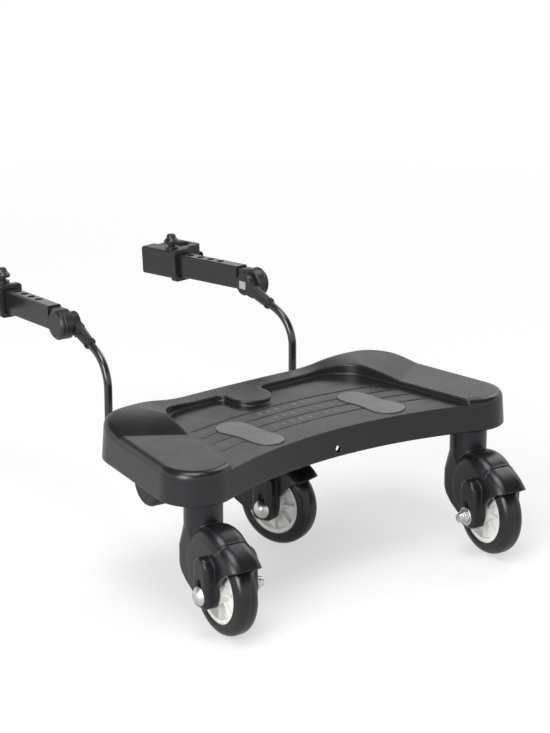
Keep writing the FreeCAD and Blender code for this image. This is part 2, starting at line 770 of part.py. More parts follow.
def fork():
    behind, up = dome_at
    dome = Part.makeCylinder(dome_r, 2 * fork_half, Vec(-fork_half, -trail - behind, wheel_r + up), X)
    dome = rounded(dome, dome_round, is_round)
    nose = rounded(across(hood_r, fork_half), hood_round, is_round)
    nose = nose.common(prism_x(side_points(nose_side), -2 * fork_half, 2 * fork_half))
    front, rear = collar_side
    line = rounded(across(hood_r + collar_up, fork_half), hood_round, is_round)
    band = ((front, 0), (rear, 0), (rear, 2 * hood_r), (front, 2 * hood_r))
    line = line.common(prism_x(side_points(band), -fork_half, fork_half))
    stem = Part.makeCylinder(stem_r, fork_top - wheel_r, Z * wheel_r)
    body = join(dome, nose, line, stem, fork_swell())
    body = body.common(prism_x(side_points(fork_side), -2 * fork_half, 2 * fork_half))
    body = body.fuse([leg_post(-1), leg_post(1)])
    well = rounded(across(wheel_r + wheel_gap, leg_gap / 2), well_round, is_round)
    body = body.cut(well)
    body = body.cut(across(axle_r, 2 * fork_half))
    return body.cut(Part.makeCylinder(kingpin_r, fork_top, Z * kingpin_low))


def kingpin():
    return Part.makeCylinder(kingpin_r, boss_z + bush_up - 1 - kingpin_low, Z * kingpin_low)


def stem_bush():
    flange = Part.makeCylinder(flange_r, flange_t, Z * (boss_z - flange_t))
    bush = join(flange, Part.makeCylinder(bush_r, bush_up, Z * boss_z))
    low = boss_z - 2 * flange_t
    return bush.cut(Part.makeCylinder(kingpin_r + run_gap, bush_up + 4 * flange_t, Z * low))


def axle_bolt(side):
    seat = fork_half + leg_rib_h
    hub = Vec(0, -trail, wheel_r)
    way = X * side
    ball_r = (head_r ** 2 + head_h ** 2) / (2 * head_h)
    ball = Part.makeSphere(ball_r, hub + way * (seat + head_h - ball_r))
    head = ball.common(bar(head_r + 1, hub + way * seat, hub + way * (seat + head_h + 1)))
    return join(head, bar(axle_r, hub + way * seat, hub - way * (seat + nut_t + bolt_tip)))


def axle_nut(side):
    seat = fork_half + leg_rib_h
    hub = Vec(0, -trail, wheel_r)
    corner = nut_flats / math.sqrt(3)
    points = []
    for index in range(6):
        angle = math.radians(60 * index)
        points.append((hub.y + corner * math.cos(angle), hub.z + corner * math.sin(angle)))
    low, high = sorted((-side * seat, -side * (seat + nut_t)))
    return prism_x(points, low, high).cut(across(axle_r, seat + 2 * nut_t))


def tyre():
    ring = across(wheel_r, wheel_w / 2)
    ring = rounded(ring, tyre_round, is_round)
    return ring.cut(across(rim_r, wheel_w))


def rim():
    hub = Vec(0, -trail, wheel_r)
    body = across(rim_r, rim_w / 2).cut(across(rim_r - rim_ring, rim_w))
    web = across(rim_r - 1, rim_web / 2)
    body = join(body, web, across(rim_hub_r, hub_w / 2 - 1))
    for index in range(rim_ribs):
        rib = box((-rim_w / 2 + rim_rib_in, rim_w / 2 - rim_rib_in),
                  (-trail - rim_rib_t / 2, -trail + rim_rib_t / 2),
                  (wheel_r + rim_hub_r - rim_rib_t, wheel_r + rim_r - rim_ring / 2))
        rib.rotate(hub, X, index * 360 / rim_ribs)
        body = body.fuse(rib)
    return body.cut(across(wheel_bush_r, hub_w))


def wheel_bush():
    return across(wheel_bush_r, hub_w / 2).cut(across(axle_r + run_gap, hub_w))


def caster_place(shape, name):
    piece = shape.copy()
    piece.rotate(Vec(0, 0, 0), Z, swivels[name])
    piece.translate(stem_points()[name])
    return piece


os.makedirs("parts", exist_ok=True)

save("deck_shell", deck_shell())
for name in ("rear_left", "rear_right", "front"):
    bolt_side = 1 if name == "rear_right" else -1
    save("stem_bush_" + name, caster_place(stem_bush(), name))
    save("fork_" + name, caster_place(fork(), name))
    save("kingpin_" + name, caster_place(kingpin(), name))
    save("axle_bolt_" + name, caster_place(axle_bolt(bolt_side), name))
    save("axle_nut_" + name, caster_place(axle_nut(bolt_side), name))
    save("tyre_" + name, caster_place(tyre(), name))
    save("rim_" + name, caster_place(rim(), name))
    save("wheel_bush_" + name, caster_place(wheel_bush(), name))

for side, name in ((-1, "left"), (1, "right")):
    save("foot_pad_" + name, pad_shape(side, tread_z - pad_t + pad_proud, tread_z + pad_proud))
    save("rod_" + name, arm_place(rod(), side))
    save("rod_holder_" + name, arm_place(rod_holder(), side))
    for index, spot in enumerate(holder_screw_spots()):
        save("holder_screw_%s_%d" % (name, index + 1), arm_place(holder_screw(spot), side))
    save("lever_" + name, arm_place(lever(), side))
    save("release_button_" + name, arm_place(button(), side))
    save("drum_hub_" + name, arm_place(arm_tilted(drum_hub()), side))
    save("drum_cap_" + name, arm_place(arm_tilted(drum_cap()), side))
    save("hinge_pin_" + name, arm_place(arm_tilted(hinge_pin()), side))
    save("arm_tube_" + name, arm_place(arm_tilted(arm_tube()), side))
    save("clamp_body_" + name, arm_place(arm_tilted(clamp_body()), side))
    save("clamp_cap_" + name, arm_place(arm_tilted(clamp_cap()), side))
    save("clamp_liner_" + name, arm_place(arm_tilted(clamp_liner()), side))
    for index, spot in enumerate(clamp_screw_spots()):
        save("clamp_screw_%s_%d" % (name, index + 1), arm_place(arm_tilted(clamp_screw(spot)), side))
    save("plunger_" + name, arm_place(arm_tilted(plunger()), side))
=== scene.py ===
import json
import math
import bmesh
import bpy
import numpy as np
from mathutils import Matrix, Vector


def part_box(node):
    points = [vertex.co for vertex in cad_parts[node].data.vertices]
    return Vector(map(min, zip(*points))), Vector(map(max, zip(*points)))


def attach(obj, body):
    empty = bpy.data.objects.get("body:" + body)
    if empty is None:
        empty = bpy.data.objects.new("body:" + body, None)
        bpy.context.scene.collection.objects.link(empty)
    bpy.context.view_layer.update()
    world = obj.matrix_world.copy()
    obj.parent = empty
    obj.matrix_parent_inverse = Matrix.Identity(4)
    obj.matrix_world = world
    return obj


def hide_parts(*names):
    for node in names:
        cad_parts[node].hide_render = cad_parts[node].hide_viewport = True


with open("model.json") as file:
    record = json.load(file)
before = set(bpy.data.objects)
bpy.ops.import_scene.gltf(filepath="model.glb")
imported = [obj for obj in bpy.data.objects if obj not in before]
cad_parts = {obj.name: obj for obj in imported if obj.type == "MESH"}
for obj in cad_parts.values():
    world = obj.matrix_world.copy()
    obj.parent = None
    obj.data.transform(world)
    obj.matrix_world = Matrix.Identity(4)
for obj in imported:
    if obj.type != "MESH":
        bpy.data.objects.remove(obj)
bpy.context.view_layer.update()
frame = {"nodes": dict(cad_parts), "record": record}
cadNodes = frame["nodes"]
casterNames = ("rear_left", "rear_right", "front")
sideNames = ("left", "right")


# Camera: looks at a point of the board from behind and to the left, as the picture was taken
cameraView = {
    "target": (0.1209, 0.0676, 0.120),
    "distance": 2.7521,
    "yaw": 37.92,            # degrees right of +Y
    "pitch": 18.08,          # degrees below level
    "focalPixels": 2663.0,
    "longSidePixels": 733.0,
    "sensor": 36.0,          # millimetres
    "clip": (0.05, 60.0),
}


def setCamera(view):
    yaw, pitch = math.radians(view["yaw"]), math.radians(view["pitch"])
    ahead = Vector((math.sin(yaw) * math.cos(pitch), math.cos(yaw) * math.cos(pitch), -math.sin(pitch)))
    data = bpy.data.cameras.new("boardCamera")
    data.sensor_width = view["sensor"]
    data.lens = view["focalPixels"] * data.sensor_width / view["longSidePixels"]
    data.clip_start, data.clip_end = view["clip"]
    camera = bpy.data.objects.new("boardCamera", data)
    camera.location = Vector(view["target"]) - ahead * view["distance"]
    camera.rotation_mode = "QUATERNION"
    camera.rotation_quaternion = ahead.to_track_quat("-Z", "Y")
    bpy.context.scene.collection.objects.link(camera)
    bpy.context.scene.camera = camera


setCamera(cameraView)
bpy.context.scene.view_settings.view_transform = "Standard"
print("camera set")


# Node trees: an input is linked if it is a socket, and set if it is a plain value
def feed(tree, socket, value):
    if isinstance(value, bpy.types.NodeSocket):
        tree.links.new(value, socket)
    else:
        socket.default_value = value


def addNode(tree, kind, inputs=(), **settings):
    node = tree.nodes.new(kind)
    for key, value in settings.items():
        setattr(node, key, value)
    for key, value in dict(inputs).items():
        feed(tree, node.inputs[key], value)
    return node


def mathNode(tree, operation, first, second):
    return addNode(tree, "ShaderNodeMath", {0: first, 1: second}, operation=operation).outputs[0]


def rangeNode(tree, value, low, high, toLow, toHigh):
    node = addNode(tree, "ShaderNodeMapRange", {"Value": value, "From Min": low, "From Max": high,
                                                "To Min": toLow, "To Max": toHigh})
    return node.outputs["Result"]


def blendColours(tree, share, first, second):
    node = addNode(tree, "ShaderNodeMix", {0: share}, data_type="RGBA")
    for socket, colour in ((node.inputs[6], first), (node.inputs[7], second)):
        feed(tree, socket, (*colour, 1.0) if isinstance(colour, tuple) else colour)
    return node.outputs[2]


def startGroup(name, inputs, outputs):
    tree = bpy.data.node_groups.new(name, "ShaderNodeTree")
    for label, kind, value in inputs:
        socket = tree.interface.new_socket(label, in_out="INPUT", socket_type=kind)
        if value is not None:
            socket.default_value = value
    for label, kind in outputs:
        tree.interface.new_socket(label, in_out="OUTPUT", socket_type=kind)
    return tree, tree.nodes.new("NodeGroupInput"), tree.nodes.new("NodeGroupOutput")


def useGroup(tree, group, inputs):
    return addNode(tree, "ShaderNodeGroup", inputs, node_tree=group)


# Mould grain: spark-eroded skin, fine noise with shallow cells under it, and a slow change of tone
grainLook = {"cellScale": 0.55, "cellDepth": 0.45, "slowScale": 24.0, "tone": (0.35, 0.65)}


def makeMouldGrain(look):
    tree, given, result = startGroup(
        "mouldGrain",
        (("Vector", "NodeSocketVector", None), ("Grain", "NodeSocketFloat", 0.0006)),
        (("Height", "NodeSocketFloat"), ("Tone", "NodeSocketFloat")))
    perMetre = mathNode(tree, "DIVIDE", 1.0, given.outputs["Grain"])
    fine = addNode(tree, "ShaderNodeTexNoise", {"Vector": given.outputs["Vector"], "Scale": perMetre,
                                                "Detail": 3.0, "Roughness": 0.6})
    cells = addNode(tree, "ShaderNodeTexVoronoi", {
        "Vector": given.outputs["Vector"], "Scale": mathNode(tree, "MULTIPLY", perMetre, look["cellScale"])})
    slow = addNode(tree, "ShaderNodeTexNoise", {"Vector": given.outputs["Vector"], "Scale": look["slowScale"],
                                                "Detail": 4.0})
    shallow = mathNode(tree, "MULTIPLY", cells.outputs["Distance"], look["cellDepth"])
    tree.links.new(mathNode(tree, "ADD", fine.outputs["Fac"], shallow), result.inputs["Height"])
    tree.links.new(rangeNode(tree, slow.outputs["Fac"], *look["tone"], 0.0, 1.0), result.inputs["Tone"])
    return tree


# Soft edge: rounds the look of a sharp edge, and marks the edge where the two normals part
edgeLook = {"samples": 6, "parting": (0.99, 0.80)}


def makeSoftEdge(look):
    tree, given, result = startGroup(
        "softEdge",
        (("Radius", "NodeSocketFloat", 0.0008),),
        (("Normal", "NodeSocketVector"), ("Edge", "NodeSocketFloat")))
    bent = addNode(tree, "ShaderNodeBevel", {"Radius": given.outputs["Radius"]}, samples=look["samples"])
    plain = addNode(tree, "ShaderNodeNewGeometry")
    same = addNode(tree, "ShaderNodeVectorMath", {0: bent.outputs["Normal"], 1: plain.outputs["Normal"]},
                   operation="DOT_PRODUCT").outputs["Value"]
    tree.links.new(bent.outputs["Normal"], result.inputs["Normal"])
    tree.links.new(rangeNode(tree, same, *look["parting"], 0.0, 1.0), result.inputs["Edge"])
    return tree


# Handling: faint cloudy smudges, and thin rubbed streaks that run mostly one way
handlingLook = {"cloudScale": 38.0, "cloudWarp": 0.6, "smudge": (0.40, 0.72),
                "streakScale": (900.0, 26.0, 160.0), "streak": (0.66, 0.76)}


def makeHandling(look):
    tree, given, result = startGroup(
        "handling",
        (("Vector", "NodeSocketVector", None), ("Streak Turn", "NodeSocketFloat", 0.6)),
        (("Smudge", "NodeSocketFloat"), ("Streak", "NodeSocketFloat")))
    cloud = addNode(tree, "ShaderNodeTexNoise", {
        "Vector": given.outputs["Vector"], "Scale": look["cloudScale"],
        "Detail": 5.0, "Roughness": 0.62, "Distortion": look["cloudWarp"]})
    spun = addNode(tree, "ShaderNodeVectorRotate", {
        "Vector": given.outputs["Vector"], "Angle": given.outputs["Streak Turn"]}, rotation_type="Z_AXIS")
    drawn = addNode(tree, "ShaderNodeMapping", {"Vector": spun.outputs[0], "Scale": look["streakScale"]})
    lines = addNode(tree, "ShaderNodeTexNoise", {"Vector": drawn.outputs[0], "Scale": 1.0, "Detail": 2.0})
    tree.links.new(rangeNode(tree, cloud.outputs["Fac"], *look["smudge"], 0.0, 1.0), result.inputs["Smudge"])
    tree.links.new(rangeNode(tree, lines.outputs["Fac"], *look["streak"], 0.0, 1.0), result.inputs["Streak"])
    return tree


mouldGrain = makeMouldGrain(grainLook)
softEdge = makeSoftEdge(edgeLook)
handling = makeHandling(handlingLook)
print("shared surface effects ready")


def startMaterial(name):
    material = bpy.data.materials.new(name)
    material.use_nodes = True
    tree = material.node_tree
    tree.nodes.clear()
    finish = tree.nodes.new("ShaderNodeOutputMaterial")
    shader = tree.nodes.new("ShaderNodeBsdfPrincipled")
    tree.links.new(shader.outputs["BSDF"], finish.inputs["Surface"])
    place = tree.nodes.new("ShaderNodeTexCoord").outputs["Object"]
    return material, tree, shader, place


def addEffects(tree, place, look):
    grain = useGroup(tree, mouldGrain, {"Vector": place, "Grain": look["grain"]})
    edge = useGroup(tree, softEdge, {"Radius": look["edge"]})
    marks = useGroup(tree, handling, {"Vector": place})
    return grain.outputs, edge.outputs, marks.outputs


def setColour(tree, shader, share, first, second):
    tree.links.new(blendColours(tree, share, first, second), shader.inputs["Base Color"])


def setRoughness(tree, shader, share, span):
    tree.links.new(rangeNode(tree, share, 0.0, 1.0, *span), shader.inputs["Roughness"])


def addBump(tree, shader, height, depth, normal=None):
    bump = addNode(tree, "ShaderNodeBump", {"Height": height, "Strength": 1.0, "Distance": depth})
    if normal is not None:
        tree.links.new(normal, bump.inputs["Normal"])
    tree.links.new(bump.outputs["Normal"], shader.inputs["Normal"])


# Moulded plastics: colour plain and rubbed, roughness clean and smudged, grain and its depth, soft edge,
# and how much of the rubbed colour shows on edges (wear) and in streaks
plasticTone = {"deepShare": 0.82, "reflected": (0.95, 0.97, 1.0, 1.0)}    # darker patches, cool reflections
plasticLooks = {
    "deckSkin": {"colour": (0.0120, 0.0122, 0.0130), "rubbed": (0.045, 0.046, 0.048), "rough": (0.23, 0.31),
                 "grain": 0.00055, "depth": 0.000011, "edge": 0.0030, "wear": 0.10, "streaks": 0.02},
    "padSkin": {"colour": (0.105, 0.105, 0.112), "rubbed": (0.12, 0.12, 0.125), "rough": (0.25, 0.34),
                "grain": 0.00040, "depth": 0.000015, "edge": 0.0008, "wear": 0.2, "streaks": 0.16},
    "forkSkin": {"colour": (0.0090, 0.0093, 0.0105), "rubbed": (0.030, 0.031, 0.034), "rough": (0.28, 0.36),
                 "grain": 0.00042, "depth": 0.000015, "edge": 0.0028, "wear": 0.06, "streaks": 0.02},
    "holderSkin": {"colour": (0.012, 0.012, 0.013), "rubbed": (0.05, 0.05, 0.052), "rough": (0.46, 0.55),
                   "grain": 0.00050, "depth": 0.00003, "edge": 0.0010, "wear": 0.2, "streaks": 0.04},
    "leverSkin": {"colour": (0.016, 0.016, 0.017), "rubbed": (0.055, 0.055, 0.058), "rough": (0.34, 0.44),
                  "grain": 0.00036, "depth": 0.000018, "edge": 0.0009, "wear": 0.3, "streaks": 0.06},
    "buttonSkin": {"colour": (0.36, 0.365, 0.375), "rubbed": (0.52, 0.52, 0.53), "rough": (0.38, 0.46),
                   "grain": 0.00030, "depth": 0.000010, "edge": 0.0006, "wear": 0.3, "streaks": 0.05},
    "drumSkin": {"colour": (0.017, 0.017, 0.018), "rubbed": (0.055, 0.055, 0.058), "rough": (0.32, 0.42),
                 "grain": 0.00036, "depth": 0.000015, "edge": 0.0009, "wear": 0.3, "streaks": 0.05},
    "clampSkin": {"colour": (0.015, 0.015, 0.016), "rubbed": (0.05, 0.05, 0.052), "rough": (0.36, 0.46),
                  "grain": 0.00045, "depth": 0.000025, "edge": 0.0011, "wear": 0.3, "streaks": 0.06},
    "knobSkin": {"colour": (0.014, 0.014, 0.015), "rubbed": (0.06, 0.06, 0.062), "rough": (0.28, 0.40),
                 "grain": 0.00030, "depth": 0.000012, "edge": 0.0008, "wear": 0.35, "streaks": 0.05},
    "bushSkin": {"colour": (0.030, 0.030, 0.031), "rubbed": (0.07, 0.07, 0.072), "rough": (0.30, 0.38),
                 "grain": 0.00030, "depth": 0.000008, "edge": 0.0005, "wear": 0.2, "streaks": 0.08},
    "rimSkin": {"colour": (0.88, 0.865, 0.84), "rubbed": (0.90, 0.90, 0.89), "rough": (0.26, 0.36),
                "grain": 0.00040, "depth": 0.000012, "edge": 0.0008, "wear": 0.3, "streaks": 0.04},
}


def makePlastic(name, look):
    material, tree, shader, place = startMaterial(name)
    grain, edge, marks = addEffects(tree, place, look)
    worn = mathNode(tree, "MULTIPLY", edge["Edge"], look["wear"])
    streaked = mathNode(tree, "MULTIPLY", marks["Streak"], look["streaks"])
    pale = mathNode(tree, "MAXIMUM", worn, streaked)
    deep = tuple(plasticTone["deepShare"] * part for part in look["colour"])
    skin = blendColours(tree, grain["Tone"], deep, look["colour"])
    setColour(tree, shader, pale, skin, look["rubbed"])
    setRoughness(tree, shader, marks["Smudge"], look["rough"])
    shader.inputs["Specular Tint"].default_value = plasticTone["reflected"]
    addBump(tree, shader, grain["Height"], look["depth"], edge["Normal"])
    return material


finishes = {}
for lookName, look in plasticLooks.items():
    finishes[lookName] = makePlastic(lookName, look)


# Rubber of the tyres and clamp liners: dark and cast, a little dusty near the floor
tyreLook = {"colour": (0.007, 0.007, 0.0075), "dusty": (0.035, 0.034, 0.032), "rough": (0.22, 0.33),
            "grain": 0.0005, "depth": 0.000012, "edge": 0.0008, "dustTop": 0.012, "dustShare": 0.5}


def makeTyreRubber(name, look):
    material, tree, shader, place = startMaterial(name)
    grain, edge, marks = addEffects(tree, place, look)
    low = addNode(tree, "ShaderNodeSeparateXYZ", {0: place}).outputs["Z"]
    onFloor = rangeNode(tree, low, look["dustTop"], 0.0, 0.0, look["dustShare"])
    dust = mathNode(tree, "MULTIPLY", onFloor, marks["Smudge"])
    setColour(tree, shader, dust, look["colour"], look["dusty"])
    setRoughness(tree, shader, marks["Smudge"], look["rough"])
    addBump(tree, shader, grain["Height"], look["depth"], edge["Normal"])
    return material


finishes["tyreRubber"] = makeTyreRubber("tyreRubber", tyreLook)
finishes["linerRubber"] = makeTyreRubber("linerRubber", dict(tyreLook, rough=(0.55, 0.7), depth=0.00003))


# Metals: nickel-plated fasteners, bare steel pins, blackened screws
metalLooks = {
    "nickelPlate": {"colour": (0.74, 0.725, 0.69), "dull": (0.58, 0.565, 0.54), "rough": (0.26, 0.42),
                    "grain": 0.0009, "depth": 0.000010, "edge": 0.0005},
    "pinSteel": {"colour": (0.52, 0.52, 0.53), "dull": (0.36, 0.36, 0.37), "rough": (0.28, 0.42),
                 "grain": 0.0006, "depth": 0.000008, "edge": 0.0004},
    "screwBlack": {"colour": (0.060, 0.060, 0.062), "dull": (0.032, 0.032, 0.034), "rough": (0.32, 0.48),
                   "grain": 0.0005, "depth": 0.000010, "edge": 0.0004},
}


def makeMetal(name, look):
    material, tree, shader, place = startMaterial(name)
    grain, edge, marks = addEffects(tree, place, look)
    setColour(tree, shader, marks["Smudge"], look["colour"], look["dull"])
    setRoughness(tree, shader, grain["Tone"], look["rough"])
    shader.inputs["Metallic"].default_value = 1.0
    addBump(tree, shader, grain["Height"], look["depth"], edge["Normal"])
    return material


for lookName, look in metalLooks.items():
    finishes[lookName] = makeMetal(lookName, look)


# Rods: round steel under smooth black powder paint
rodLook = {"colour": (0.012, 0.012, 0.013), "worn": (0.10, 0.10, 0.105), "rough": (0.20, 0.32),
           "peel": 0.0022, "depth": 0.000020, "coat": 0.6, "coatRough": 0.08,
           "streakTurn": 1.2, "streaks": 0.12}


def makeRodPaint(name, look):
    material, tree, shader, place = startMaterial(name)
    peel = addNode(tree, "ShaderNodeTexNoise", {"Vector": place, "Scale": 1.0 / look["peel"], "Detail": 2.0})
    marks = useGroup(tree, handling, {"Vector": place, "Streak Turn": look["streakTurn"]}).outputs
    rubbed = mathNode(tree, "MULTIPLY", marks["Streak"], look["streaks"])
    setColour(tree, shader, rubbed, look["colour"], look["worn"])
    setRoughness(tree, shader, marks["Smudge"], look["rough"])
    shader.inputs["Coat Weight"].default_value = look["coat"]
    shader.inputs["Coat Roughness"].default_value = look["coatRough"]
    addBump(tree, shader, peel.outputs["Fac"], look["depth"])
    return material


finishes["rodPaint"] = makeRodPaint("rodPaint", rodLook)


# Arm tubes: drawn lines run along the tube under a dark satin finish
tubeLook = {"colour": (0.010, 0.010, 0.011), "line": (0.024, 0.024, 0.026), "rough": (0.18, 0.27),
            "depth": 0.000008, "edge": 0.0012, "turn": 5.0, "lineScale": (1500.0, 9.0, 1500.0),
            "lineSpan": (0.40, 0.75), "lineShare": 0.7, "edgeShare": 0.5}


def makeTubeFinish(name, look, sign):
    material, tree, shader, place = startMaterial(name)
    turn = math.radians(sign * look["turn"])
    spun = addNode(tree, "ShaderNodeVectorRotate", {"Vector": place, "Angle": turn}, rotation_type="Z_AXIS")
    drawn = addNode(tree, "ShaderNodeMapping", {"Vector": spun.outputs[0], "Scale": look["lineScale"]})
    lines = addNode(tree, "ShaderNodeTexNoise", {"Vector": drawn.outputs[0], "Scale": 1.0, "Detail": 3.0})
    edge = useGroup(tree, softEdge, {"Radius": look["edge"]}).outputs
    marks = useGroup(tree, handling, {"Vector": place}).outputs
    fine = rangeNode(tree, lines.outputs["Fac"], *look["lineSpan"], 0.0, look["lineShare"])
    share = mathNode(tree, "MAXIMUM", fine, mathNode(tree, "MULTIPLY", edge["Edge"], look["edgeShare"]))
    setColour(tree, shader, share, look["colour"], look["line"])
    setRoughness(tree, shader, marks["Smudge"], look["rough"])
    addBump(tree, shader, lines.outputs["Fac"], look["depth"], edge["Normal"])
    return material


finishes["tubeLeft"] = makeTubeFinish("tubeLeft", tubeLook, 1)
finishes["tubeRight"] = makeTubeFinish("tubeRight", tubeLook, -1)
print("finishes:", len(finishes))


# Which finish each node gets, by the start of its name
nodeFinish = (
    ("deck_shell", "deckSkin"), ("foot_pad", "padSkin"),
    ("stem_bush", "bushSkin"), ("wheel_bush", "bushSkin"), ("fork", "forkSkin"),
    ("kingpin", "pinSteel"), ("hinge_pin", "pinSteel"),
    ("axle_bolt", "nickelPlate"), ("axle_nut", "nickelPlate"), ("holder_screw", "nickelPlate"),
    ("tyre", "tyreRubber"), ("rim", "rimSkin"), ("rod_holder", "holderSkin"), ("rod", "rodPaint"),
    ("lever", "leverSkin"), ("release_button", "buttonSkin"), ("drum", "drumSkin"),
    ("arm_tube_left", "tubeLeft"), ("arm_tube_right", "tubeRight"),
    ("clamp_body", "clampSkin"), ("clamp_cap", "clampSkin"), ("clamp_liner", "linerRubber"),
    ("clamp_screw", "screwBlack"), ("plunger", "knobSkin"),
)


def setFinish(thing, finish):
    thing.data.materials.clear()
    thing.data.materials.append(finishes[finish])


for nodeName, node in cadNodes.items():
    setFinish(node, next(finish for start, finish in nodeFinish if nodeName.startswith(start)))
print("nodes finished")


# Surfaces: a grid of points becomes quads between neighbours; points that meet are merged
mergeGap = 2e-6


def gridPiece(name, points, finish, body, wrapRows=False, wrapColumns=False, sharp=35.0):
    rows, columns = points.shape[:2]
    index = np.arange(rows * columns).reshape(rows, columns)
    if wrapRows:
        index = np.vstack((index, index[:1]))
    if wrapColumns:
        index = np.hstack((index, index[:, :1]))
    quads = np.stack((index[:-1, :-1], index[:-1, 1:], index[1:, 1:], index[1:, :-1]), axis=-1)
    mesh = bpy.data.meshes.new(name)
    mesh.from_pydata(points.reshape(-1, 3).tolist(), [], quads.reshape(-1, 4).tolist())
    build = bmesh.new()
    build.from_mesh(mesh)
    bmesh.ops.remove_doubles(build, verts=build.verts, dist=mergeGap)
    bmesh.ops.recalc_face_normals(build, faces=build.faces)
    build.to_mesh(mesh)
    build.free()
    mesh.polygons.foreach_set("use_smooth", np.ones(len(mesh.polygons), bool))
    mesh.set_sharp_from_angle(angle=math.radians(sharp))
    piece = bpy.data.objects.new(name, mesh)
    bpy.context.scene.collection.objects.link(piece)
    setFinish(piece, finish)
    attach(piece, body)
    return piece


def nodePoints(name):
    mesh = cadNodes[name].data
    flat = np.empty(len(mesh.vertices) * 3)
    mesh.vertices.foreach_get("co", flat)
    return flat.reshape(-1, 3)


def basisAlong(axis):
    # three square directions, the last one along the axis
    along = np.array(axis, float) / np.linalg.norm(axis)
    helper = np.array((0.0, 0.0, 1.0)) if abs(along[2]) < 0.9 else np.array((1.0, 0.0, 0.0))
    across = np.cross(helper, along)
    across /= np.linalg.norm(across)
    return across, np.cross(along, across), along


def fullTurn(steps):
    return np.linspace(0.0, 2.0 * math.pi, steps, endpoint=False)


def aroundAxis(start, axis, radius, height, turn):
    # start + r cos t u + r sin t v + h w, for each row of radii r and heights h and each turn t
    u, v, w = basisAlong(axis)
    spoke = np.cos(turn)[:, None] * u + np.sin(turn)[:, None] * v
    return np.array(start) + radius[..., None] * spoke + height[..., None] * w


def revolved(profile, start, axis, steps=72):
    # each (radius, height) of the profile goes all the way round the axis
    radius, height = np.array(profile).T[:, :, None]
    return aroundAxis(start, axis, radius, height, fullTurn(steps))


def measureAlong(name, axis):
    # a round node's middle line, and the height and radius of each of its points along it
    u, v, w = basisAlong(axis)
    points = nodePoints(name)
    flat = points @ np.stack((u, v), axis=1)
    middle = (flat.min(axis=0) + flat.max(axis=0)) / 2
    return middle[0] * u + middle[1] * v, points @ w, np.linalg.norm(flat - middle, axis=1)


joints = {joint["name"]: joint for joint in frame["record"]["behaviour"]["joints"]}


# Axle ends: a washer, a chamfered lock nut with a sunk insert, and the threaded tip of the bolt
axleLook = {
    "washerRadius": 0.0088, "washerThick": 0.0011, "washerEdge": 0.0002, "washerBreak": 0.0003,
    "chamfer": 0.0011, "chamferStart": 0.2,
    "collarHeight": 0.0022, "collarEdge": 0.0005, "insertDepth": 0.0006,
    # radii of the nut, as shares of half its width across flats
    "face": 0.93, "corner": 1.02, "collar": 0.86, "collarTop": 0.80, "insert": 0.68,
    "pitch": 0.00125, "threadDepth": 0.0004, "threadSteps": 10, "threadLift": 0.00003, "runOut": 0.0004,
    "tipShare": 0.88, "tipLift": 0.0001,
}


def hexRadius(turn, corner):
    # distance to a hexagon's side, in the direction turn: corner cos 30 / cos of the angle from the flat
    fromFlat = np.mod(turn, math.pi / 3) - math.pi / 6
    return corner * math.cos(math.pi / 6) / np.cos(fromFlat)


def lockNut(start, axis, low, high, corner, bore, look, steps=96):
    # the radius is the hexagon's, kept inside a circle at both chamfers; a round collar stands on top
    turn = fullTurn(steps)
    hexagon = hexRadius(turn, corner)
    flat = corner * math.cos(math.pi / 6)
    rounded = np.minimum(hexagon, flat * look["corner"])
    chamfer, slight = look["chamfer"], look["chamferStart"] * look["chamfer"]
    shoulder, sunk = high - look["collarHeight"], high - look["insertDepth"]
    face, collar, collarTop, insert = (look[key] * flat for key in ("face", "collar", "collarTop", "insert"))
    rows = (
        (bore, low), (face, low), (rounded, low + slight), (hexagon, low + chamfer),
        (hexagon, shoulder - chamfer), (rounded, shoulder - slight), (face, shoulder),
        (collar, shoulder), (collar, high - look["collarEdge"]), (collarTop, high),
        (insert, high), (insert, sunk), (bore, sunk),
    )
    radius = np.array([np.broadcast_to(ring, turn.shape) for ring, level in rows])
    height = np.array([[level] for ring, level in rows])
    return aroundAxis(start, axis, radius, height, turn)


def threadedTip(start, axis, low, high, shank, look, steps=60):
    # the radius follows a triangle wave that climbs one pitch each turn, and closes in a small flat end
    turn = fullTurn(steps)
    count = int((high - low) / look["pitch"] * look["threadSteps"])
    climb = np.linspace(low, high - look["runOut"], count)[:, None]
    wave = np.mod((climb - low) / look["pitch"] - turn / (2.0 * math.pi), 1.0)
    thread = shank + look["threadLift"] + look["threadDepth"] * (1.0 - np.abs(2.0 * wave - 1.0))
    point = np.zeros((1, steps))
    end = [[high + look["tipLift"]]]
    radius = np.vstack((point, thread, point + look["tipShare"] * shank, point))
    height = np.vstack(([[low]], climb, end, end))
    return aroundAxis(start, axis, radius, height, turn)


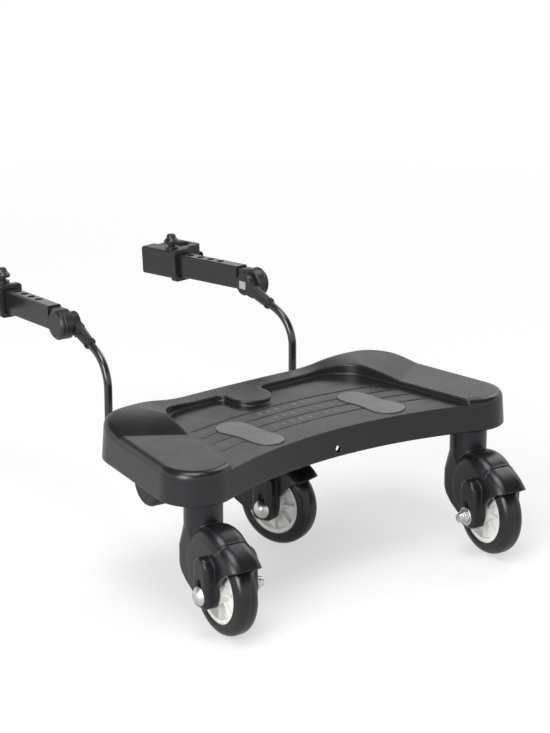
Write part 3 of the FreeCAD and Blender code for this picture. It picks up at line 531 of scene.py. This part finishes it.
def dressAxle(caster, look):
    axis = np.array(joints["roll_" + caster]["axis"])
    start, height, radius = measureAlong("axle_nut_" + caster, axis)
    boltHeight, boltRadius = measureAlong("axle_bolt_" + caster, axis)[1:]
    wheelHeight = np.array(joints["roll_" + caster]["pos_m"]) @ axis
    if height.mean() < wheelHeight:       # a nut on the low side: all is measured the other way
        axis, height, boltHeight = -axis, -height, -boltHeight
    body = "caster_" + caster
    seat, face, tip = height.min(), height.max(), boltHeight.max()
    shank = boltRadius[boltHeight > face].max()
    washerTop = seat + look["washerThick"]
    wide, edge = look["washerRadius"], look["washerEdge"]
    ring = ((shank, seat), (wide, seat), (wide + edge, seat + edge),
            (wide + edge, washerTop - look["washerBreak"]), (wide - edge, washerTop), (shank, washerTop))
    gridPiece("axleWasher_" + caster, revolved(ring, start, axis), "nickelPlate", body,
              wrapRows=True, wrapColumns=True)
    points = lockNut(start, axis, washerTop, face, radius.max(), shank, look)
    nut = gridPiece("lockNut_" + caster, points, "nickelPlate", body,
                    wrapRows=True, wrapColumns=True, sharp=25.0)
    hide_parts("axle_nut_" + caster)
    points = threadedTip(start, axis, face - look["insertDepth"], tip, shank, look)
    gridPiece("boltTip_" + caster, points, "nickelPlate", body, wrapColumns=True, sharp=60.0)


for caster in casterNames:
    dressAxle(caster, axleLook)
print("axle ends made")


# Screws: a domed head with a cross recess on a plain shank
screwLook = {"slotHalf": 0.22, "slotSoft": 0.08, "slotReach": 0.62, "endSoft": 0.10, "slotDepth": 0.55,
             "crown": 0.35, "crownPower": 2.4, "rings": 30, "wall": 0.25, "seatShare": 0.94, "tipPart": 0.3}


def crossScrew(start, axis, heights, radii, look, steps=96):
    # the head falls from its crown by a power of the radius, and by the depth of two crossed bars with soft
    # sides; under it the profile runs in to the shank and down to the tip
    seat, crown, tip = heights
    head, shank = radii
    turn = fullTurn(steps)
    thick = crown - seat
    share = np.linspace(0.0, 1.0, look["rings"])[:, None]
    x, y = np.abs(share * np.cos(turn)), np.abs(share * np.sin(turn))
    inside = np.clip((look["slotHalf"] - np.minimum(x, y)) / look["slotSoft"], 0.0, 1.0)
    inside = inside * np.clip((look["slotReach"] - np.maximum(x, y)) / look["endSoft"], 0.0, 1.0)
    top = crown - look["crown"] * thick * share ** look["crownPower"] - look["slotDepth"] * thick * inside
    below = np.array(((head, seat + look["wall"] * thick), (look["seatShare"] * head, seat), (shank, seat),
                      (shank, tip + shank), (0.0, tip)))
    even = np.ones((1, steps))
    radius = np.vstack((head * share * even, below[:, :1] * even))
    height = np.vstack((top, below[:, 1:] * even))
    return aroundAxis(start, axis, radius, height, turn)


def dressScrew(name, axis, finish, body, look):
    axis = np.array(axis)
    start, height, radius = measureAlong(name, axis)
    headEnd = height[radius.argmax()]
    if headEnd - height.min() < height.max() - headEnd:     # the head's end counts as the high one
        axis, height = -axis, -height
    head = radius.max()
    shank = radius[height < height.min() + look["tipPart"] * np.ptp(height)].max()
    seat = height[radius > (head + shank) / 2].min()
    points = crossScrew(start, axis, (seat, height.max(), height.min()), (head, shank), look)
    piece = gridPiece("cross_" + name, points, finish, body, wrapColumns=True, sharp=40.0)
    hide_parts(name)


for side in sideNames:
    hingeAxis = joints["arm_fold_" + side]["axis"]
    for number in (1, 2):
        dressScrew("clamp_screw_%s_%d" % (side, number), hingeAxis, "screwBlack", "clamp_" + side, screwLook)
        dressScrew("holder_screw_%s_%d" % (side, number), (0.0, 0.0, 1.0), "nickelPlate", "deck", screwLook)
print("screws made")


# Grip studs: three staggered rows of low domes between the pads, along the bow of the rear edge
studLook = {"edgeRadius": 0.415, "edgeY": -0.18524, "rows": (0.0456, 0.0638, 0.0820), "counts": (7, 6, 7),
            "spacing": 0.0105, "radius": 0.0026, "height": 0.0007, "sunk": 0.0004, "padProud": 0.0008,
            "rings": 7, "steps": 28}


def gripStuds(look):
    # a stud is a quarter ellipse turned round an upright axis; each row keeps one distance from the rear edge
    padBoxes = [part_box("foot_pad_" + side) for side in sideNames]
    treadZ = padBoxes[0][1][2] - look["padProud"]
    middleX = float(np.mean([(low[0] + high[0]) / 2 for low, high in padBoxes]))
    centreY = look["edgeY"] - look["edgeRadius"]
    dome = [(look["radius"] * math.sin(t), look["height"] * math.cos(t))
            for t in np.linspace(0.0, math.pi / 2, look["rings"])]
    dome += [(look["radius"], -look["sunk"]), (0.0, -look["sunk"])]
    for row, (away, count) in enumerate(zip(look["rows"], look["counts"])):
        reach = look["edgeRadius"] + away
        for number in range(count):
            turn = (number - (count - 1) / 2) * look["spacing"] / reach
            spot = (middleX + reach * math.sin(turn), centreY + reach * math.cos(turn), treadZ)
            points = revolved(dome, spot, (0, 0, 1), look["steps"])
            # the studs take the pads' paler finish as a painted highlight, so that they read as raised and
            # not as holes
            gridPiece("gripStud_%d_%d" % (row + 1, number + 1), points, "padSkin", "deck",
                      wrapColumns=True, sharp=60.0)


gripStuds(studLook)
print("grip studs made")


# Ferrules: a stepped ring that closes each lever's sleeve on its rod
ferruleLook = {"lean": 20.0, "toeIn": 5.0,            # the rod's top end, in degrees
               "rodRadius": 0.004, "length": 0.0045, "wide": 0.0062, "narrow": 0.0049, "cover": 0.0006,
               "edge": 0.0004, "stepEdge": 0.0005, "step": (0.4, 0.5), "tail": 0.92}


def leverFerrule(side, look):
    # a stepped profile goes round the rod, from just over the sleeve's end back along the rod
    sign = 1 if side == "left" else -1
    lean, toe = math.radians(look["lean"]), math.radians(look["toeIn"])
    way = np.array((sign * math.cos(lean) * math.sin(toe), math.cos(lean) * math.cos(toe), math.sin(lean)))
    hinge = np.array(joints["arm_fold_" + side]["pos_m"])
    foot = hinge + way * ((nodePoints("lever_" + side) - hinge) @ way).min()
    bore, wide, narrow, length = look["rodRadius"], look["wide"], look["narrow"], look["length"]
    cover, edge = look["cover"], look["edge"]
    stepStart, stepEnd, tail = (-share * length for share in (*look["step"], look["tail"]))
    ring = ((bore, cover), (wide - edge, cover), (wide, cover - edge), (wide, stepStart),
            (wide - look["stepEdge"], stepEnd), (narrow, stepEnd), (narrow, tail), (narrow - edge, -length),
            (bore, -length))
    gridPiece("leverFerrule_" + side, revolved(ring, foot, way), "knobSkin", "deck",
              wrapRows=True, wrapColumns=True)


for side in sideNames:
    leverFerrule(side, ferruleLook)
print("ferrules made")


# Tyre beads: a fine raised line round each tyre wall, beside the rim
beadLook = {"offset": 0.0016, "half": 0.0006, "proud": 0.0004, "sunk": 0.0004, "rings": 7, "steps": 120}


def tyreBead(caster, look):
    # half an ellipse on each wall of the tyre, carried round the wheel's axis
    axis = np.array(joints["roll_" + caster]["axis"])
    start, height, radius = measureAlong("tyre_" + caster, axis)
    middle = radius.min() + look["offset"]
    for end, sign in ((height.min(), -1), (height.max(), 1)):
        arc = [(middle + look["half"] * math.cos(t), end + sign * look["proud"] * math.sin(t))
               for t in np.linspace(0.0, math.pi, look["rings"])]
        foot = end - sign * look["sunk"]
        arc += [(middle - look["half"], foot), (middle + look["half"], foot)]
        points = revolved(arc, start, axis, look["steps"])
        gridPiece("tyreBead_%s_%s" % (caster, "out" if sign > 0 else "in"), points,
                  "tyreRubber", "wheel_" + caster, wrapRows=True, wrapColumns=True, sharp=50.0)


for caster in casterNames:
    tyreBead(caster, beadLook)
print("tyre beads made")


# Stage: pale floor that keeps the shadow, white all round and dimmer overhead, broad soft lamps
stageLook = {
    "floorSize": 14.0, "floorColour": (0.82, 0.82, 0.82), "floorRough": 0.7, "floorGloss": 0.1,
    "whiteNear": 0.55, "whiteFrom": 0.40, "whiteTo": 1.6,          # the floor turns white with distance
    "fill": 0.46, "mirrorFloor": 0.55, "dimFrom": 22.0, "dimTo": 31.0, "overhead": 0.08,
}
lampAim = (0.0, 0.0, 0.1)
lamps = (
    {"name": "topSoftbox", "at": (-0.50, -0.40, 2.5), "size": (1.3, 1.3), "power": 34.0},
    {"name": "leftSoftbox", "at": (-2.3, -1.0, 1.3), "size": (1.2, 1.8), "power": 56.0},
    {"name": "rightSoftbox", "at": (1.8, 0.45, 1.9), "size": (1.3, 1.6), "power": 18.0},
)


def anyOf(tree, sockets):
    total = sockets[0]
    for socket in sockets[1:]:
        total = mathNode(tree, "MAXIMUM", total, socket)
    return total


def setWorld(look):
    world = bpy.data.worlds.new("whiteRoom")
    bpy.context.scene.world = world
    world.use_nodes = True
    tree = world.node_tree
    tree.nodes.clear()
    path = addNode(tree, "ShaderNodeLightPath")
    seen = anyOf(tree, [path.outputs[n] for n in ("Is Camera Ray", "Is Transmission Ray")])
    way = addNode(tree, "ShaderNodeTexCoord").outputs["Generated"]
    height = addNode(tree, "ShaderNodeSeparateXYZ", {0: way}).outputs["Z"]
    # a mirror sees the white room up to dimFrom degrees, and a dim ceiling above dimTo
    low, high = math.sin(math.radians(look["dimFrom"])), math.sin(math.radians(look["dimTo"]))
    mirrored = rangeNode(tree, height, low, high, 1.0, look["overhead"])
    plain = rangeNode(tree, seen, 0.0, 1.0, look["fill"], 1.0)
    strength = rangeNode(tree, path.outputs["Is Glossy Ray"], 0.0, 1.0, plain, mirrored)
    sky = addNode(tree, "ShaderNodeBackground", {"Color": (1.0, 1.0, 1.0, 1.0), "Strength": strength})
    finish = tree.nodes.new("ShaderNodeOutputWorld")
    tree.links.new(sky.outputs[0], finish.inputs["Surface"])


def makeFloor(look):
    half = look["floorSize"] / 2
    mesh = bpy.data.meshes.new("floor")
    corners = [(-half, -half, 0), (half, -half, 0), (half, half, 0), (-half, half, 0)]
    mesh.from_pydata(corners, [], [(0, 1, 2, 3)])
    floor = bpy.data.objects.new("floor", mesh)
    bpy.context.scene.collection.objects.link(floor)
    material, tree, shader, place = startMaterial("paleFloor")
    shader.inputs["Base Color"].default_value = (*look["floorColour"], 1.0)
    shader.inputs["Roughness"].default_value = look["floorRough"]
    shader.inputs["Specular IOR Level"].default_value = look["floorGloss"]
    away = addNode(tree, "ShaderNodeVectorMath", {0: place}, operation="LENGTH").outputs["Value"]
    far = rangeNode(tree, away, look["whiteFrom"], look["whiteTo"], look["whiteNear"], 1.0)
    path = addNode(tree, "ShaderNodeLightPath")
    seen = anyOf(tree, [path.outputs[n] for n in ("Is Camera Ray", "Is Glossy Ray", "Is Transmission Ray")])
    glow = rangeNode(tree, path.outputs["Is Glossy Ray"], 0.0, 1.0, 1.0, look["mirrorFloor"])
    white = addNode(tree, "ShaderNodeEmission", {"Color": (1.0, 1.0, 1.0, 1.0), "Strength": glow})
    mixed = addNode(tree, "ShaderNodeMixShader", {0: mathNode(tree, "MULTIPLY", far, seen)})
    tree.links.new(shader.outputs["BSDF"], mixed.inputs[1])
    tree.links.new(white.outputs[0], mixed.inputs[2])
    finish = next(node for node in tree.nodes if node.bl_idname == "ShaderNodeOutputMaterial")
    tree.links.new(mixed.outputs[0], finish.inputs["Surface"])
    mesh.materials.append(material)


def addLamp(lamp):
    data = bpy.data.lights.new(lamp["name"], "AREA")
    data.shape = "RECTANGLE"
    data.size, data.size_y = lamp["size"]
    data.energy = lamp["power"]
    thing = bpy.data.objects.new(lamp["name"], data)
    thing.location = lamp["at"]
    way = Vector(lampAim) - Vector(lamp["at"])
    thing.rotation_euler = way.to_track_quat("-Z", "Y").to_euler()
    bpy.context.scene.collection.objects.link(thing)


setWorld(stageLook)
makeFloor(stageLook)
for lamp in lamps:
    addLamp(lamp)
print("stage and lamps set")
